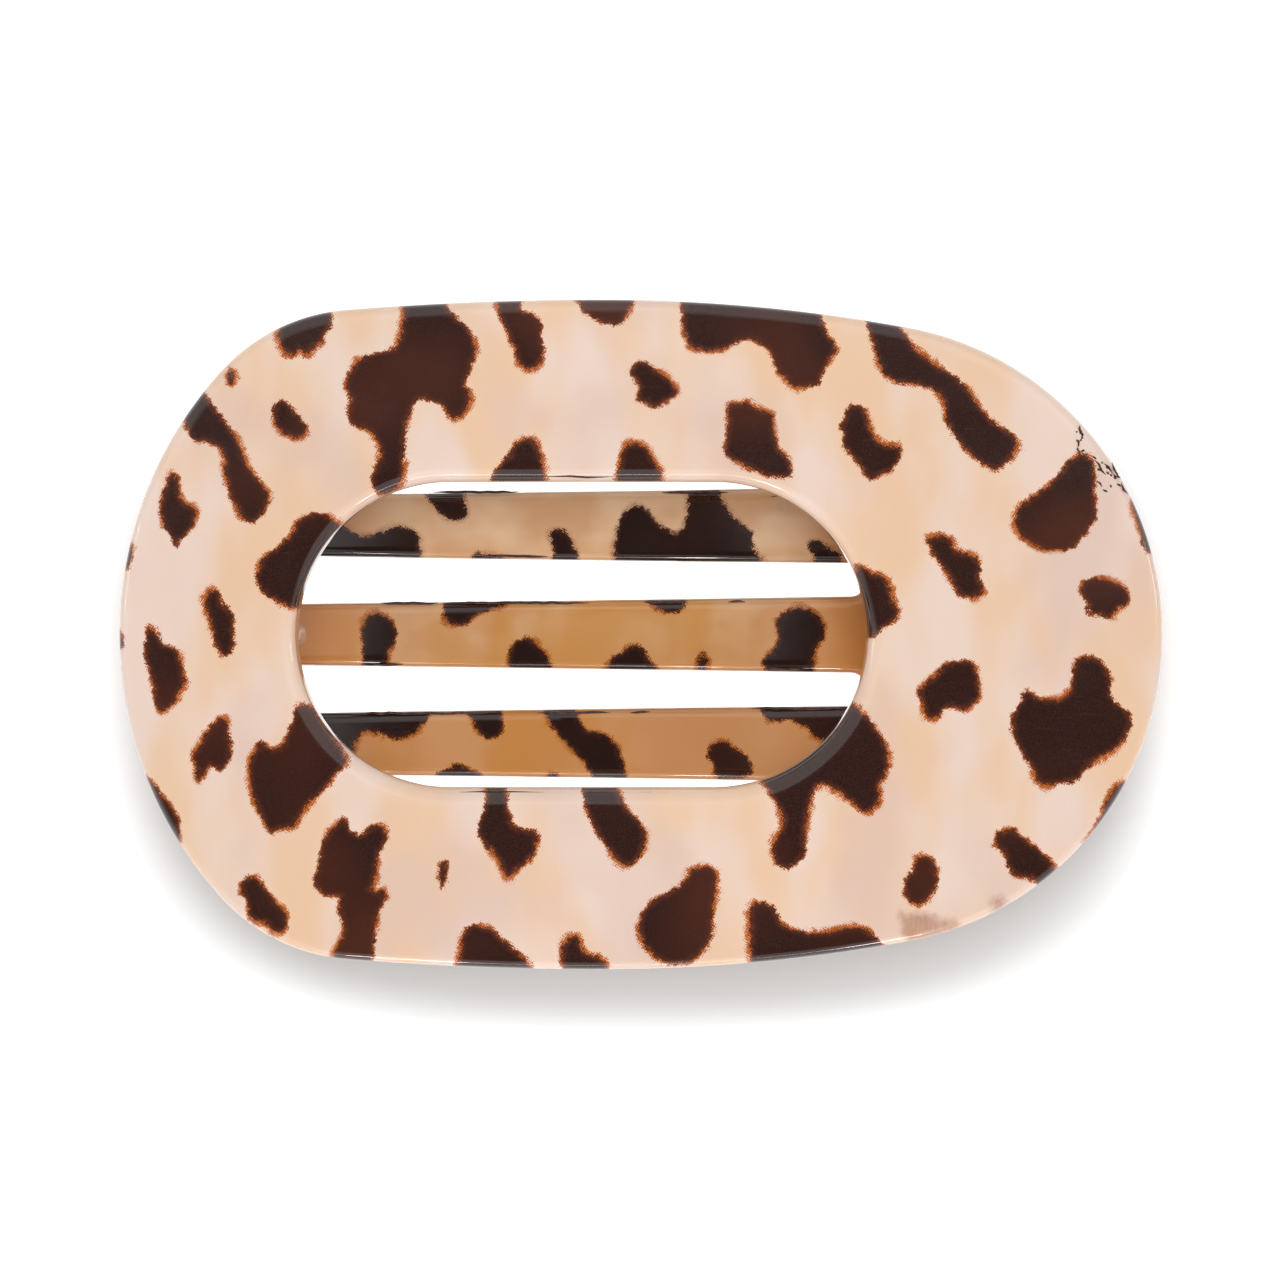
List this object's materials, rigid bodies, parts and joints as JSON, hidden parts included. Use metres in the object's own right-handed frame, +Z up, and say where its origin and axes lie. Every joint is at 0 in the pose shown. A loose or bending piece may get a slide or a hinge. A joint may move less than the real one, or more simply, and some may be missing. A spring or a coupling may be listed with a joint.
{
  "type": "barrette",
  "caption": "Arched oval hair clip with an oblong window; a spring-hinged comb of flat tines closes against its back, and pinching the hinge end opens it.",
  "frame": {"origin": "middle of the clip's footprint, on the plane that the closed clip lies on with its tines down", "axes": "+X along the clip towards the hinge and thumb end, +Z up out of the front face"},
  "size_m": [0.088, 0.056, 0.02],
  "materials": {
    "frame_plastic": "glossy milky peach with dark brown tortoiseshell blotches",
    "jaw_plastic": "glossy milky peach with dark brown tortoiseshell blotches",
    "pin_steel": "plain bright steel wire",
    "spring_steel": "drawn spring wire"
  },
  "bodies": {
    "jaw": {"back_jaw": "jaw_plastic", "torsion_spring": "spring_steel"},
    "frame": {"front_frame": "frame_plastic", "hinge_pin": "pin_steel"}
  },
  "joints": [
    {"name": "clip_hinge", "type": "hinge", "parent": "jaw", "child": "frame", "pos_m": [0.0252, 0, 0.01117], "axis": [0, 1, 0], "range_deg": [0, 28], "stiffness_Nm_per_rad": 0.3, "springref_deg": -34.38, "deforming": ["torsion_spring"]}
  ]
}
